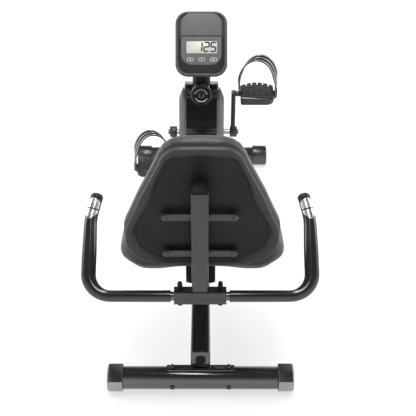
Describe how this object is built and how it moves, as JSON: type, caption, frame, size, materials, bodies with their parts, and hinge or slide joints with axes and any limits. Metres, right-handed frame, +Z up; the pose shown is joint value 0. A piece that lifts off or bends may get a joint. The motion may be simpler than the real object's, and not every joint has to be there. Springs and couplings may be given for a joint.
{
  "type": "recumbent exercise bike",
  "caption": "Recumbent exercise bike with a sliding padded seat and backrest, side handlebars, belt-driven cranks and a small console over the flywheel housing.",
  "frame": {"origin": "on the floor, under the middle of the whole bike", "axes": "+Y towards the front of the bike, along its length; +X to the rider's right; +Z up"},
  "size_m": [0.5778, 1.4355, 0.7453],
  "materials": {
    "frame_paint": "satin black powder coat",
    "frame_gloss": "gloss black paint",
    "black_plastic": "fine moulded grain",
    "gloss_black": "semi-gloss moulding",
    "cover_grey": "satin grey moulding",
    "upholstery": "black vinyl with fine grain",
    "grip_rubber": "smooth soft sleeve",
    "steel": "turned steel",
    "bright": "polished plate",
    "zinc_black": "black zinc",
    "iron": "turned cast iron",
    "nylon": "pale nylon",
    "console_grey": "satin dark grey",
    "display_glass": "clear window over a pale grey-green screen",
    "belt_rubber": "ribbed belt"
  },
  "bodies": {
    "base": {"rear_stabilizer": "frame_paint", "front_stabilizer": "frame_paint", "cap_rear_left": "black_plastic", "cap_rear_right": "black_plastic", "cap_front_left": "black_plastic", "cap_front_right": "black_plastic", "rear_saddle": "frame_gloss", "saddle_bolt_left": "zinc_black", "saddle_bolt_right": "zinc_black", "main_beam": "frame_gloss", "beam_plug": "black_plastic", "seat_rail": "frame_paint", "rail_leg_rear": "frame_paint", "rail_leg_front": "frame_paint", "crank_post": "frame_paint", "flywheel_fork": "frame_paint", "drive_belt": "belt_rubber", "shroud_left": "cover_grey", "shroud_right": "cover_grey", "shroud_spine": "gloss_black", "mast": "black_plastic", "console_case": "black_plastic", "console_face": "console_grey", "display": "display_glass"},
    "seat": {"seat_carriage": "frame_paint", "carriage_liner": "nylon", "seat_foot": "frame_paint", "back_post": "frame_paint", "post_cap": "black_plastic", "bar_bracket": "frame_paint", "bar_clamp": "frame_paint", "clamp_bolt_left": "zinc_black", "clamp_bolt_right": "zinc_black", "handlebar": "frame_gloss", "grip_left": "grip_rubber", "grip_right": "grip_rubber", "pulse_plate_left": "bright", "pulse_plate_right": "bright", "strap_lower": "frame_paint", "strap_upper": "frame_paint", "back_shell": "black_plastic", "back_cushion": "upholstery", "seat_board": "black_plastic", "seat_cushion": "upholstery"},
    "lock_pin": {"lock_pin": "black_plastic"},
    "crank": {"crank_axle": "steel", "drive_pulley": "black_plastic", "crank_left": "frame_gloss", "crank_right": "frame_gloss"},
    "pedal_left": {"pedal_left_body": "black_plastic", "pedal_left_strap": "gloss_black"},
    "pedal_right": {"pedal_right_body": "black_plastic", "pedal_right_strap": "gloss_black"},
    "flywheel": {"flywheel": "iron", "flywheel_axle": "steel"},
    "tension_knob": {"tension_knob": "gloss_black"},
    "magnet_arm": {"magnet_arm": "steel"},
    "button_left": {"button_left": "black_plastic"},
    "button_middle": {"button_middle": "black_plastic"},
    "button_right": {"button_right": "black_plastic"}
  },
  "joints": [
    {"name": "seat_slide", "type": "slide", "parent": "base", "child": "seat", "axis": [0, 1, 0], "range_m": [-0.08, 0.2]},
    {"name": "lock_pull", "type": "slide", "parent": "seat", "child": "lock_pin", "axis": [1, 0, 0], "range_m": [0, 0.012], "stiffness_N_per_m": 600},
    {"name": "crank_spin", "type": "hinge", "parent": "base", "child": "crank", "pos_m": [0, 0.32025, 0.307], "axis": [1, 0, 0], "continuous": true},
    {"name": "pedal_left_spin", "type": "hinge", "parent": "crank", "child": "pedal_left", "pos_m": [0.006, 0.34113, 0.15846], "axis": [1, 0, 0], "continuous": true},
    {"name": "pedal_right_spin", "type": "hinge", "parent": "crank", "child": "pedal_right", "pos_m": [0.006, 0.29937, 0.45554], "axis": [1, 0, 0], "continuous": true},
    {"name": "flywheel_spin", "type": "hinge", "parent": "base", "child": "flywheel", "pos_m": [0, 0.45525, 0.275], "axis": [1, 0, 0], "continuous": true},
    {"name": "tension_turn", "type": "hinge", "parent": "base", "child": "tension_knob", "pos_m": [0, 0.24775, 0.487], "axis": [0, -1, 0], "range_deg": [0, 270]},
    {"name": "magnet_swing", "type": "hinge", "parent": "base", "child": "magnet_arm", "pos_m": [0, 0.56832, 0.28489], "axis": [1, 0, 0], "range_deg": [-3, 0]},
    {"name": "button_left_press", "type": "slide", "parent": "base", "child": "button_left", "axis": [0, 0.848, -0.5299], "range_m": [0, 0.001], "stiffness_N_per_m": 800},
    {"name": "button_middle_press", "type": "slide", "parent": "base", "child": "button_middle", "axis": [0, 0.848, -0.5299], "range_m": [0, 0.001], "stiffness_N_per_m": 800},
    {"name": "button_right_press", "type": "slide", "parent": "base", "child": "button_right", "axis": [0, 0.848, -0.5299], "range_m": [0, 0.001], "stiffness_N_per_m": 800}
  ],
  "couplings": [
    {"joint": "flywheel_spin", "follows": "crank_spin", "ratio": 4.25},
    {"joint": "magnet_swing", "follows": "tension_turn", "ratio": -0.011111}
  ]
}
